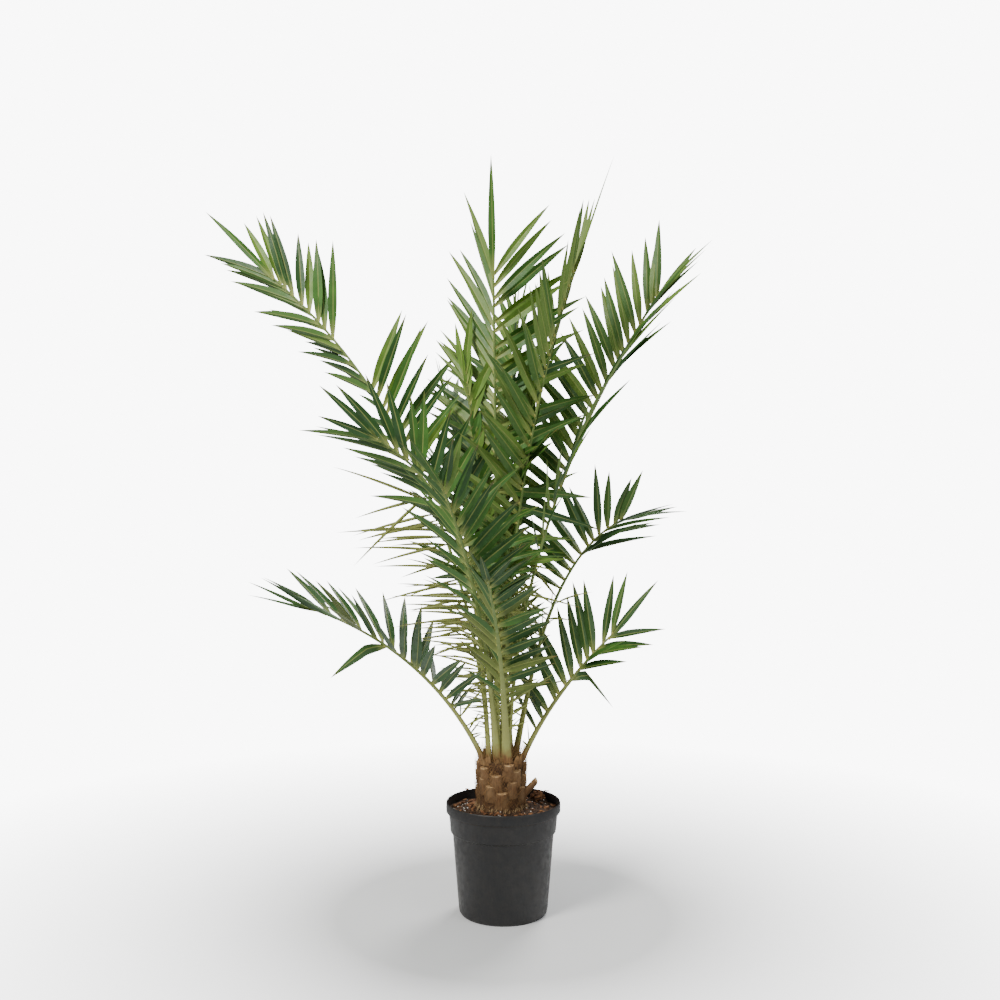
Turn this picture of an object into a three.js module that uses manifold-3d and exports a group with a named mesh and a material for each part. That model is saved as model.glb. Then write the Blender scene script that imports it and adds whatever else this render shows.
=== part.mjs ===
// Young Canary Island date palm in its round nursery pot, filled with potting soil.
// Millimetres, +Z up. The origin is the middle of the pot's flat underside, and the plant is seen from -Y.
import * as THREE from "three";
import { mergeVertices } from "three/addons/utils/BufferGeometryUtils.js";
import Module from "manifold-3d";

const wasm = await Module();
wasm.setup();
const rad = THREE.MathUtils.degToRad;

// Driving dimensions, in millimetres and degrees
const gap = 0.3; // left between pieces that lie face to face

const pot = {
  height: 203,
  wall: 2,
  footRadius: 78,
  heelRadius: 82,
  heelHeight: 11,
  heelTuck: 1.2, // the heel rounds inwards by this much at heelMiddle of its height
  heelMiddle: 0.35,
  shoulderRadius: 93,
  shoulderHeight: 147,
  collarFootRadius: 97,
  collarTopRadius: 100,
  lipFootHeight: 184,
  lipRadius: 105,
  lipRounding: 2,
  slope: 3, // the shoulder slopes over this height, and the lip's underside over half of it
  sides: 44,
  holes: 6,
  holeRadius: 6,
  holeSides: 12,
  holeCircle: 58,
};

const soil = { level: 190, edgeDrop: 4, flatRadius: 60 };

const trunk = {
  offset: -4, // the trunk stands a little left of the pot's axis
  top: 280,
  footRadius: 45.5,
  waistRadius: 41.5,
  topRadius: 44,
  waistFoot: 30, // the waist starts this high up
  waistTop: 18, // and ends this far below the top
  sides: 20,
};

// Cut leaf bases cover the trunk in one spiral, each a short tapered block that leans outwards.
const leafBase = {
  count: 26,
  width: 27,
  thickness: 12,
  height: 30,
  topScale: 0.8, // it narrows to this at its cut end
  lean: 8,
  footRadius: 38.5,
  firstHeight: 2,
  lastHeight: 62,
  spiral: 137.5, // degrees from one to the next
  headingVaries: 8,
  widthVaries: 2,
  raised: 10, // the last ones stand this much over the trunk's top, where no stem is near
  raisedFrom: 0.62, // of the spiral
  kept: 1, // where a stem is near, they end this much below the trunk's top
  sides: 6,
};

// One old leaf base was cut longer than the rest and sticks out on the right.
const longBase = { heading: -12, width: 20, thickness: 17, height: 45, lean: 42, footRadius: 35, foot: 21 };

const stem = {
  pieces: 10,
  stepsPerPiece: 4, // the curve is worked out in finer steps than it is drawn
  sides: 5,
  tipRadius: 1.8,
  thickness: 0.8, // of its width
  turnEase: 1.3, // power of the turn along the stem: above 1 the blade turns later
};

const leaflet = {
  pitch: 35, // between neighbours on one side of the frond
  stagger: 0.25, // of the pitch, that one side's row is ahead of the middle between the two
  length: 166,
  width: 22,
  tipWidth: 0.8, // of the width, for the last leaflet
  thickness: 2,
  slenderness: 80, // a long one is thicker, at least this part of its length
  shortest: 0.84, // of the length, at both ends of the row
  swell: 0.24, // more, in the middle of the row
  swellEase: 0.8, // below 1 the longest ones are nearer the foot of the row
  narrowest: 0.35, // of the width, at the foot of the row
  fullFrom: 0.35, // of the row, from where they have their full width
  narrowing: 0.2, // of the width, at the tip of the row
  narrowingEase: 3, // above 1 they stay wide for longer
  footAngle: 74, // off the stem, at the foot of the row
  closing: 44, // how much of that angle is lost towards the tip
  closingEase: 1.5, // above 1 most of it is lost near the tip
  lift: 28, // how far each row rises out of the frond's plane
  droop: 0.08, // of its length, at its tip
  fold: 0.15, // how far its edges stand over its midrib, of its width
  widestAt: 0.42,
  sunk: 0.8, // of the stem's radius, past its middle
  tipSunk: 12, // the last leaflet goes this far into the stem's tip
  clearance: 0.4, // to the other fronds
};

// How much leaflets vary: their place in the row, in pitches, their angles and the share of their length
const varies = { place: 0.3, angle: 6, lift: 12, length: 0.1 };

// What is tried on a leaflet that would touch another frond: how long it is, and how far it turns. The last
// leaflet of a frond turns by a share of that.
const retries = { shares: [1, 0.8, 0.6, 0.45], turns: [0, 6, -6, 12, -12, 20, -20], lastTurns: 1 / 3 };

// A frond leaves the trunk's top at base, heads along heading, and bends from lean[0] to lean[1] degrees off
// upright. Its blade turns about the stem by turn on the way up. leaf scales the leaflets, bare is the share
// of the stem below them, open adds to the angle of the lowest ones, spread to all angles on side -1 and on
// side 1, and tip is the angle of the last one and scales its length. No leaflets grow on side gap[0] from
// gap[1] to gap[2] of the row.
const fronds = [
  { name: "frond_low_left", base: [-31, -6], radius: 6.2, heading: 192, lean: [26, 71], bend: 1,
    length: 430, turn: -8, leaf: 0.98, bare: 0.23, open: 25, spread: [0, -10], tip: [2, 0.8] },
  { name: "frond_low_right", base: [38, 2], radius: 6.2, heading: -4, lean: [24, 46], bend: 0.8,
    length: 285, turn: 62, leaf: 0.92, bare: 0.15, spread: [5, 4], tip: [10, 1], gap: [-1, 0, 0.46] },
  { name: "frond_low_front", base: [10, -34], radius: 5.4, heading: 262, lean: [11, 56], bend: 1,
    length: 420, turn: -11, leaf: 0.6, bare: 0.26, spread: [-8, 10], tip: [0, 1] },
  { name: "frond_low_back", base: [14, 34], radius: 5.4, heading: 96, lean: [16, 64], bend: 0.9,
    length: 500, turn: -22, leaf: 0.6, bare: 0.24, spread: [0, -10], tip: [0, 1] },
  { name: "frond_mid_right", base: [25, 14], radius: 5.4, heading: 30, lean: [13, 72], bend: 2.35,
    length: 530, turn: 33, leaf: 0.92, bare: 0.58, spread: [4, 4], tip: [-4, 0.95], gap: [-1, 0, 0.31] },
  { name: "frond_mid_left", base: [-21, -17], radius: 5.4, heading: 202, lean: [4, 66], bend: 2.6,
    length: 650, turn: 65, leaf: 1, bare: 0.48, open: 30, spread: [-13, -13], tip: [0, 0.75] },
  { name: "frond_mid_front", base: [-6, -27], radius: 5.2, heading: 248, lean: [12, 46], bend: 1.4,
    length: 560, turn: 0, leaf: 0.8, bare: 0.48, spread: [-4, -7], tip: [-8, 1] },
  { name: "frond_mid_back", base: [-8, 27], radius: 5.2, heading: 112, lean: [12, 50], bend: 1.3,
    length: 630, turn: 0, leaf: 0.86, bare: 0.45, spread: [-4, -1], tip: [-8, 1] },
  { name: "frond_high_left", base: [-20, 9], radius: 5, heading: 175, lean: [5, 50], bend: 1.2,
    length: 1020, turn: 81, leaf: 1.08, bare: 0.5, spread: [-15, -4], tip: [8, 1.1], gap: [1, 0.457, 0.64] },
  { name: "frond_high_right", base: [15, 5], radius: 5, heading: -1, lean: [0, 34], bend: 0.85,
    length: 915, turn: 54, leaf: 1.08, bare: 0.42, spread: [-14, -1], tip: [-2, 0.7] },
  { name: "frond_high_front", base: [-8, -15], radius: 4.6, heading: 267, lean: [1, 18], bend: 1.9,
    length: 880, turn: -22, leaf: 1.14, bare: 0.4, spread: [-8, 10], tip: [0, 1.17] },
  { name: "frond_high_back", base: [5, 17], radius: 4.6, heading: 79, lean: [1, 27], bend: 2,
    length: 830, turn: -52, leaf: 1.08, bare: 0.45, spread: [0, -8], tip: [16, 0.9] },
  { name: "frond_top_left", base: [-10, 5], radius: 4, heading: 120, lean: [5, 30], bend: 1.2,
    length: 700, turn: 44, leaf: 0.9, bare: 0.42, spread: [-6, -16], tip: [-8, 0.75] },
  { name: "frond_top_right", base: [5, -4], radius: 4, heading: 317, lean: [0, 24], bend: 1.15,
    length: 900, turn: 42, leaf: 1, bare: 0.38, spread: [-12, -22], tip: [2, 1.35] },
  { name: "frond_inner_left", base: [-7, -5], radius: 4, heading: 215, lean: [0, 12], bend: 1,
    length: 715, turn: 20, leaf: 0.84, bare: 0.39, spread: [0, -14], tip: [0, 0.75] },
  { name: "frond_inner_right", base: [0, 6], radius: 4, heading: 22, lean: [1, 12], bend: 1.2,
    length: 695, turn: 27, leaf: 0.88, bare: 0.33, spread: [-6, 1], tip: [0, 0.9] },
];

// Colours and finishes
const blackPlastic = new THREE.MeshStandardMaterial({ color: 0x1b1b1c, roughness: 0.55, metalness: 0 });
const pottingSoil = new THREE.MeshStandardMaterial({ color: 0x3a2a1e, roughness: 0.95, metalness: 0 });
const fibrousBark = new THREE.MeshStandardMaterial({ color: 0x6a4a2e, roughness: 0.9, metalness: 0 });
const frondGreen = new THREE.MeshStandardMaterial({ color: 0x4f7a34, roughness: 0.6, metalness: 0 });

// A closed geometry as a solid, and a solid as a named mesh
function solidOf(geometry) {
  const bare = geometry.clone();
  bare.deleteAttribute("normal");
  bare.deleteAttribute("uv");
  const merged = mergeVertices(bare, 1e-4);
  return new wasm.Manifold(
    new wasm.Mesh({
      numProp: 3,
      vertProperties: merged.attributes.position.array,
      triVerts: new Uint32Array(merged.index.array),
    }),
  );
}

function meshOf(name, solid, material) {
  const { vertProperties, triVerts } = solid.getMesh();
  const geometry = new THREE.BufferGeometry();
  geometry.setAttribute("position", new THREE.BufferAttribute(vertProperties, 3));
  geometry.setIndex(new THREE.BufferAttribute(triVerts, 1));
  geometry.computeVertexNormals();
  const mesh = new THREE.Mesh(geometry, material);
  mesh.name = name;
  return mesh;
}

function turned(profile, sides) {
  const points = profile.map(([r, z]) => new THREE.Vector2(r, z));
  return new THREE.LatheGeometry(points, sides).rotateX(Math.PI / 2);
}

// A number from -1 to 1 that is the same on each run
function wobble(seed, k) {
  const v = Math.sin(seed * 12.9898 + k * 78.233) * 43758.5453;
  return 2 * (v - Math.floor(v)) - 1;
}

// The pot's outline from the middle of its underside up to the lip, and the same outline one wall further in
function potOutline(inset) {
  const { footRadius, heelRadius, heelHeight, heelTuck, heelMiddle, shoulderRadius, shoulderHeight } = pot;
  const { collarFootRadius, collarTopRadius, lipFootHeight, lipRadius, lipRounding, slope, height } = pot;
  return [
    [footRadius - inset, inset],
    [heelRadius - heelTuck - inset, heelHeight * heelMiddle + inset],
    [heelRadius - inset, heelHeight],
    [shoulderRadius - inset, shoulderHeight],
    [collarFootRadius - inset, shoulderHeight + slope],
    [collarTopRadius - inset, lipFootHeight - inset],
    [lipRadius - inset, lipFootHeight + slope / 2 - inset],
    [lipRadius - inset, height - lipRounding],
  ];
}

function makePot() {
  const outside = potOutline(0);
  const inside = potOutline(pot.wall).reverse();
  const lipTop = [[pot.lipRadius - pot.wall / 2, pot.height]];
  const profile = [[0, 0], ...outside, ...lipTop, ...inside, [0, pot.wall]];
  let shell = solidOf(turned(profile, pot.sides));
  for (let i = 0; i < pot.holes; i++) {
    const angle = ((i + 0.5) / pot.holes) * 2 * Math.PI;
    const drill = new THREE.CylinderGeometry(pot.holeRadius, pot.holeRadius, pot.wall * 4, pot.holeSides);
    drill.rotateX(Math.PI / 2);
    drill.translate(pot.holeCircle * Math.cos(angle), pot.holeCircle * Math.sin(angle), 0);
    shell = shell.subtract(solidOf(drill));
  }
  return shell;
}

// The soil fills the pot to a little below its lip, flat in the middle and falling slightly at the edge.
function makeSoil() {
  const side = potOutline(pot.wall + gap).filter(([, z]) => z < soil.level - soil.edgeDrop);
  const [edgeRadius] = side.at(-1);
  return solidOf(
    turned([[0, pot.wall + gap], ...side, [edgeRadius, soil.level - soil.edgeDrop],
      [soil.flatRadius, soil.level], [0, soil.level]], pot.sides),
  );
}

// Frames along a frond's stem, in the crown's own frame: where it is, and along, across and out of the blade
function spineOf(frond) {
  const at = new THREE.Vector3(frond.base[0], frond.base[1], 0);
  const heading = rad(frond.heading);
  const steps = stem.pieces * stem.stepsPerPiece;
  const stations = [];
  for (let i = 0; i <= steps; i++) {
    const s = i / steps;
    const lean = rad(frond.lean[0] + (frond.lean[1] - frond.lean[0]) * s ** frond.bend);
    const out = new THREE.Vector3(Math.cos(heading), Math.sin(heading), 0);
    const up = new THREE.Vector3(0, 0, 1);
    const along = out.clone().multiplyScalar(Math.sin(lean)).addScaledVector(up, Math.cos(lean));
    const face = out.clone().multiplyScalar(-Math.cos(lean)).addScaledVector(up, Math.sin(lean));
    const across = new THREE.Vector3(-Math.sin(heading), Math.cos(heading), 0);
    const turn = rad(frond.turn) * s ** stem.turnEase;
    across.applyAxisAngle(along, turn);
    face.applyAxisAngle(along, turn);
    if (i % stem.stepsPerPiece === 0) stations.push({ at: at.clone(), along, across, face });
    at.addScaledVector(along, frond.length / steps);
  }
  return stations;
}

function stationAt(spine, s) {
  const x = THREE.MathUtils.clamp(s, 0, 1) * stem.pieces;
  const i = Math.min(Math.floor(x), stem.pieces - 1);
  const between = (key) => spine[i][key].clone().lerp(spine[i + 1][key], x - i);
  const [along, across, face] = ["along", "across", "face"].map((key) => between(key).normalize());
  return { at: between("at"), along, across, face };
}

function stemRadius(frond, s) {
  return THREE.MathUtils.lerp(frond.radius, stem.tipRadius, s);
}

// The stem is a bent, tapering rod, cut level at its foot so that it stands on the trunk's top.
function stemSolid(frond, spine) {
  const rod = new THREE.CylinderGeometry(1, 1, 1, stem.sides, stem.pieces);
  const spot = rod.attributes.position;
  for (let i = 0; i < spot.count; i++) {
    const s = spot.getY(i) + 0.5;
    const { at, along, across, face } = stationAt(spine, s);
    const radius = stemRadius(frond, s);
    at.addScaledVector(across, spot.getX(i) * radius);
    at.addScaledVector(face, -spot.getZ(i) * radius * stem.thickness);
    if (s < 1e-6) at.addScaledVector(along, -at.z / along.z);
    spot.setXYZ(i, at.x, at.y, at.z);
  }
  return solidOf(rod);
}

// One leaflet: eight faces, folded along its midrib, widest below its middle, its tip drooping a little
function leafletSolid({ at, heading, edge }, length, width, spare = 0) {
  const shape = new THREE.OctahedronGeometry(1, 0);
  const normal = heading.clone().cross(edge);
  const spot = shape.attributes.position;
  const thickness = Math.max(leaflet.thickness, length / leaflet.slenderness) / 2 + spare;
  for (let i = 0; i < spot.count; i++) {
    const [x, y, z] = [spot.getX(i), spot.getY(i), spot.getZ(i)];
    const share = x === 0 ? leaflet.widestAt : (x + 1) / 2;
    const corner = at.clone();
    corner.addScaledVector(heading, share * length + x * spare);
    corner.addScaledVector(edge, y * (width / 2 + spare));
    corner.addScaledVector(normal, z * thickness + Math.abs(y) * width * leaflet.fold);
    corner.z -= leaflet.droop * length * share ** 2;
    spot.setXYZ(i, corner.x, corner.y, corner.z);
  }
  return solidOf(shape);
}

// How leaflets change along their row, from its foot at 0 to its tip at 1
function angleInRow(frond, u) {
  const closed = leaflet.closing * u ** leaflet.closingEase;
  return leaflet.footAngle - closed + (frond.open ?? 0) * (1 - u) ** 2;
}

function lengthInRow(u) {
  return leaflet.length * (leaflet.shortest + leaflet.swell * Math.sin(Math.PI * u ** leaflet.swellEase));
}

function widthInRow(u) {
  const opened = Math.sin((Math.PI / 2) * Math.min(u / leaflet.fullFrom, 1));
  const broad = THREE.MathUtils.lerp(leaflet.narrowest, 1, opened);
  return leaflet.width * broad * (1 - leaflet.narrowing * u ** leaflet.narrowingEase);
}

// Where each leaflet of a frond grows, which way it points and how long it is
function leafletsOf(frond, index, spine) {
  const seed = 10 * index + 1;
  const count = Math.floor((frond.length * (1 - frond.bare)) / leaflet.pitch);
  const list = [];
  for (let i = 0; i < count; i++)
    for (const side of [1, -1]) {
      const k = i * 2 + (side > 0 ? 1 : 0);
      const place = i + 0.5 + leaflet.stagger * side + varies.place * wobble(seed, k);
      const u = THREE.MathUtils.clamp(place / count, 0, 1);
      if (frond.gap && frond.gap[0] === side && frond.gap[1] <= u && u <= frond.gap[2]) continue;
      const s = frond.bare + (1 - frond.bare) * u;
      const spread = frond.spread[side > 0 ? 1 : 0];
      list.push({
        ...stationAt(spine, s),
        side,
        sunk: stemRadius(frond, s) * leaflet.sunk,
        angle: angleInRow(frond, u) + spread + varies.angle * wobble(seed + 1, k),
        lift: leaflet.lift + varies.lift * wobble(seed + 2, k),
        length: lengthInRow(u) * frond.leaf * (1 + varies.length * wobble(seed + 3, k)),
        width: widthInRow(u),
      });
    }
  list.push({
    ...stationAt(spine, 1),
    side: 1,
    sunk: leaflet.tipSunk,
    angle: frond.tip[0],
    lift: 0,
    length: leaflet.length * frond.leaf * frond.tip[1],
    width: leaflet.width * leaflet.tipWidth,
    last: true,
  });
  return list;
}

// A leaflet's own direction, with its angle off the stem opened by more
function leafletFrame({ at, along, across, face, side, sunk, angle, lift }, more) {
  const sideways = across.clone().multiplyScalar(side * Math.cos(rad(lift)));
  sideways.addScaledVector(face, Math.sin(rad(lift)));
  const heading = along.clone().multiplyScalar(Math.cos(rad(angle + more)));
  heading.addScaledVector(sideways, Math.sin(rad(angle + more)));
  const edge = sideways.multiplyScalar(-Math.cos(rad(angle + more)));
  edge.addScaledVector(along, Math.sin(rad(angle + more)));
  return { at: at.clone().addScaledVector(heading, -sunk), heading, edge };
}

// Solids that a new one has to stay clear of, each with the box around it
const placed = [];

function keepClear(owner, solid) {
  placed.push({ owner, solid, box: solid.boundingBox() });
}

function touches(owner, solid) {
  const box = solid.boundingBox();
  return placed.some((other) => {
    if (other.owner === owner) return false;
    const apart = [0, 1, 2].some((a) => box.min[a] > other.box.max[a] || box.max[a] < other.box.min[a]);
    if (apart) return false;
    const common = solid.intersect(other.solid);
    const meets = !common.isEmpty();
    common.delete();
    return meets;
  });
}

// A leaflet that would touch another frond turns in small steps, then shortens, or else is left out.
function fittedLeaflet(owner, spec) {
  for (const share of retries.shares)
    for (const more of retries.turns) {
      const frame = leafletFrame(spec, spec.last ? more * retries.lastTurns : more);
      const fat = leafletSolid(frame, spec.length * share, spec.width, leaflet.clearance);
      const meets = touches(owner, fat);
      fat.delete();
      if (!meets) return leafletSolid(frame, spec.length * share, spec.width);
    }
  return null;
}

function makeFronds() {
  const spines = fronds.map(spineOf);
  const stems = fronds.map((frond, i) => stemSolid(frond, spines[i]));
  stems.forEach((solid, i) => keepClear(fronds[i].name, solid));
  return fronds.map((frond, i) => {
    const leaflets = leafletsOf(frond, i, spines[i])
      .map((spec) => fittedLeaflet(frond.name, spec))
      .filter((solid) => solid);
    leaflets.forEach((solid) => keepClear(frond.name, solid));
    return wasm.Manifold.union([stems[i], ...leaflets]);
  });
}

// A tapered six-sided block that stands on the trunk's side, in the trunk's own frame
function leafBaseSolid({ heading, width, thickness, height, lean, footRadius, foot }) {
  const block = new THREE.CylinderGeometry(leafBase.topScale, 1, height, leafBase.sides);
  block.rotateX(Math.PI / 2);
  block.rotateZ(Math.PI / leafBase.sides);
  block.scale(thickness / 2, width / 2, 1);
  block.translate(0, 0, height / 2);
  block.rotateY(rad(lean));
  block.translate(footRadius, 0, foot);
  block.rotateZ(rad(heading));
  return solidOf(block);
}

// The trunk: a slightly waisted core under a spiral of cut leaf bases
function makeTrunk() {
  const height = trunk.top - soil.level - gap;
  const { footRadius, waistRadius, topRadius, waistFoot, waistTop, sides } = trunk;
  const core = solidOf(
    turned([[0, 0], [footRadius, 0], [waistRadius, waistFoot], [waistRadius, height - waistTop],
      [topRadius, height], [0, height]], sides),
  );
  const pieces = [core, leafBaseSolid(longBase)];
  const { count, spiral, headingVaries, widthVaries, firstHeight, lastHeight } = leafBase;
  const { raised, raisedFrom, kept } = leafBase;
  for (let i = 0; i < count; i++) {
    const share = i / (count - 1);
    const heading = i * spiral + headingVaries * wobble(3, i);
    const foot = firstHeight + (lastHeight - firstHeight) * share;
    const size = { ...leafBase, heading, foot, width: leafBase.width + widthVaries * wobble(4, i) };
    const tall = leafBaseSolid({ ...size, height: Math.min(size.height, height + raised - foot) });
    const high = share > raisedFrom && touches("trunk", tall.translate(0, 0, -height - gap));
    const short = Math.min(size.height, height - kept - foot);
    pieces.push(high ? leafBaseSolid({ ...size, height: short }) : tall);
  }
  return wasm.Manifold.union(pieces);
}

// The whole plant in its pot
const plant = new THREE.Group();
plant.add(meshOf("pot", makePot(), blackPlastic));
plant.add(meshOf("soil", makeSoil(), pottingSoil));

const crown = new THREE.Group();
crown.position.set(trunk.offset, 0, trunk.top + gap);
makeFronds().forEach((solid, i) => crown.add(meshOf(fronds[i].name, solid, frondGreen)));

const trunkMesh = meshOf("trunk", makeTrunk(), fibrousBark);
trunkMesh.position.set(trunk.offset, 0, soil.level + gap);
plant.add(trunkMesh, crown);

export default plant;
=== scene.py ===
# Looks for the potted young date palm
import math

import bmesh
import bpy
import numpy as np
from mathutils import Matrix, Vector, noise
from mathutils.bvhtree import BVHTree


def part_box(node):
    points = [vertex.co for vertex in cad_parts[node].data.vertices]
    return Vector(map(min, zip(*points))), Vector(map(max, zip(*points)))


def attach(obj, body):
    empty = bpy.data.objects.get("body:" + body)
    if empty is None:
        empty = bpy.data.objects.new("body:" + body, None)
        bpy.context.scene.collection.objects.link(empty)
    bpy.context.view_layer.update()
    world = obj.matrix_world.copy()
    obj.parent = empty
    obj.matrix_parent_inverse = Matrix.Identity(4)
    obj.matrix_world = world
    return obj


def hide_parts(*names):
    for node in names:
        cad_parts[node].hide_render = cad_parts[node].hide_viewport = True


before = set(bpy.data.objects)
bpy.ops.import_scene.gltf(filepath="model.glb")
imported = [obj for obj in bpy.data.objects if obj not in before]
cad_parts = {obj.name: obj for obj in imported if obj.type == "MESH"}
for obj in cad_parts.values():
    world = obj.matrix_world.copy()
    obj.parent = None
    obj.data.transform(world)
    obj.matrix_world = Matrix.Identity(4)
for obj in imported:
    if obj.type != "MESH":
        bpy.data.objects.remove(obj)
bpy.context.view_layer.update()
mm = 0.001  # sizes below are in millimetres
tiny = 1e-6  # metres; corners nearer than this are one
fullTurn = 2 * math.pi
up = np.array([0, 0, 1])
print("packed model loaded,", len(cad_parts), "nodes")


# Small helpers for numbers and pieces

uneven = (12.9898, 78.233, 43758.5453)  # factors without a common rhythm


def wobble(seed, k):  # from -1 to 1, the same on each run
    v = np.sin(seed * uneven[0] + k * uneven[1]) * uneven[2]
    return 2 * (v - np.floor(v)) - 1


def between(limits, seed, k):
    return np.interp(wobble(seed, k), (-1, 1), limits)


def unit(v):
    return v / np.linalg.norm(v, axis=-1, keepdims=True)


def column(items, key):
    return np.array([item[key] for item in items])


def shade(red, green, blue):  # screen colour, 0 to 255, as the shader's own
    parts = [c / 255 for c in (red, green, blue)]
    linear = [c / 12.92 if c <= 0.04045 else ((c + 0.055) / 1.055) ** 2.4 for c in parts]
    return (*linear, 1)


def newObject(name, data):
    item = bpy.data.objects.new(name, data)
    bpy.context.scene.collection.objects.link(item)
    return item


def addPiece(name, mesh, material, slot, *nodes):
    mesh.materials.append(material)
    piece = newObject(name, mesh)
    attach(piece, "root")
    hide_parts(*nodes)


def smoothed(mesh, sharpAbove):
    mesh.shade_smooth()
    mesh.set_sharp_from_angle(angle=math.radians(sharpAbove))
    return mesh


def meshFrom(bm, name, sharpAbove=40):
    bmesh.ops.recalc_face_normals(bm, faces=bm.faces)
    mesh = bpy.data.meshes.new(name)
    bm.to_mesh(mesh)
    bm.free()
    return smoothed(mesh, sharpAbove)


def bevelled(bm, edges, offset, segments):
    bmesh.ops.bevel(
        bm, geom=edges, offset=offset, affect="EDGES", segments=segments, profile=0.5, material=-1,
        clamp_overlap=True,
    )


def cornersAndFaces(bm):
    bmesh.ops.recalc_face_normals(bm, faces=bm.faces)
    bm.verts.index_update()
    return np.array([v.co[:] for v in bm.verts]), [[v.index for v in f.verts] for f in bm.faces]


def shapeOf(bm):  # a small shape as arrays, to be repeated many times
    shape = cornersAndFaces(bm)
    bm.free()
    return shape


def repeatedMesh(name, points, shape, sharpAbove=28, keepPlace=False):
    # points holds every copy's corners in millimetres, in the order of the small shape's own
    copies, corners = points.shape[:2]
    faces = [[v + corners * c for v in face] for c in range(copies) for face in shape[1]]
    mesh = bpy.data.meshes.new(name)
    mesh.from_pydata((points * mm).reshape(-1, 3).tolist(), [], faces)
    if keepPlace:
        place = mesh.attributes.new("place", "FLOAT_VECTOR", "POINT")
        place.data.foreach_set("vector", np.tile(shape[0], (copies, 1)).ravel())
    return smoothed(mesh, sharpAbove)


# Node helpers

def plug(tree, source, socket):  # three numbers for a colour are a screen colour
    if isinstance(source, bpy.types.NodeSocket):
        tree.links.new(source, socket)
    else:
        onScreen = socket.type == "RGBA" and len(source) == 3
        socket.default_value = shade(*source) if onScreen else source


def newNode(tree, kind, values=None, **settings):
    node = tree.nodes.new("ShaderNode" + kind)
    for key, value in settings.items():
        setattr(node, key, value)
    for key, value in (values or {}).items():
        plug(tree, value, node.inputs[key])
    return node


def mixed(tree, factor, first, second):  # 0, 6, 7 and 2 are the mix node's sockets for colours
    return newNode(tree, "Mix", {0: factor, 6: first, 7: second}, data_type="RGBA").outputs[2]


def ranged(tree, value, low, high, start=0.0, end=1.0):
    values = {"Value": value, "From Min": low, "From Max": high, "To Min": start, "To Max": end}
    return newNode(tree, "MapRange", values).outputs["Result"]


def worked(tree, operation, first, second=0.0):
    return newNode(tree, "Math", {0: first, 1: second}, operation=operation).outputs[0]


def times(tree, first, second):
    return worked(tree, "MULTIPLY", first, second)


def noisy(tree, vector, scale, detail=4.0, roughness=0.5):
    values = {"Vector": vector, "Scale": scale, "Detail": detail, "Roughness": roughness}
    return newNode(tree, "TexNoise", values).outputs["Fac"]


def stretched(tree, vector, scale):
    return newNode(tree, "Mapping", {"Vector": vector, "Scale": scale}).outputs["Vector"]


def lengthOf(tree, vector):
    return newNode(tree, "VectorMath", {0: vector}, operation="LENGTH").outputs["Value"]


def axesOf(tree, vector):
    return newNode(tree, "SeparateXYZ", {0: vector}).outputs


def newGroup(name, inputs, build):  # build adds the nodes, and returns what comes out by its name
    group = bpy.data.node_groups.new(name, "ShaderNodeTree")
    for label, value in inputs.items():
        size = len(value) if isinstance(value, tuple) else 1
        kind = {1: "NodeSocketFloat", 3: "NodeSocketVector", 4: "NodeSocketColor"}[size]
        group.interface.new_socket(label, in_out="INPUT", socket_type=kind).default_value = value
    results = build(group, group.nodes.new("NodeGroupInput").outputs)
    for label, result in results.items():
        kind = "NodeSocketColor" if result.type == "RGBA" else "NodeSocketFloat"
        group.interface.new_socket(label, in_out="OUTPUT", socket_type=kind)
    last = group.nodes.new("NodeGroupOutput").inputs
    for label, result in results.items():
        plug(group, result, last[label])
    return group


def grouped(tree, group, **values):
    return newNode(tree, "Group", values, node_tree=group).outputs


def mottle(tree, given):  # soft patches, from 0 to 1
    patch = noisy(tree, given["Vector"], given["Scale"], 5.0, 0.6)
    low = worked(tree, "SUBTRACT", 0.5, given["Softness"])
    high = worked(tree, "ADD", 0.5, given["Softness"])
    return {"Mask": ranged(tree, patch, low, high)}


def fineStrands(tree, given):  # side by side, where the vector is already stretched along them
    coarser = noisy(tree, given["Vector"], 1.0, 3.0, 0.55)
    finer = noisy(tree, given["Vector"], 3.1, 6.0, 0.7)
    both = worked(tree, "ADD", times(tree, coarser, 0.6), times(tree, finer, 0.4))
    return {"Mask": ranged(tree, both, 0.36, 0.64), "Height": both}


def paleDust(tree, given):  # it settles on what faces up, in patches
    normal = newNode(tree, "NewGeometry").outputs["Normal"]
    facing = ranged(tree, axesOf(tree, normal)["Z"], -0.1, 0.9, 0.25, 1.0)
    patches = ranged(tree, noisy(tree, given["Vector"], 55.0, 8.0, 0.72), 0.42, 0.68)
    mask = times(tree, times(tree, facing, patches), given["Amount"])
    return {"Color": mixed(tree, mask, given["Color"], given["Dust"]), "Mask": mask}


def creviceShade(tree, given):  # painted shade: darkens what lies close to the trunk's axis, between the leaf bases, where shade falls
    radius = lengthOf(tree, stretched(tree, given["Vector"], (1, 1, 0)))
    depth = ranged(tree, radius, 36 * mm, 46 * mm, 0.85, 0.0)
    return {"Color": mixed(tree, depth, given["Color"], given["Shadow"])}


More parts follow.
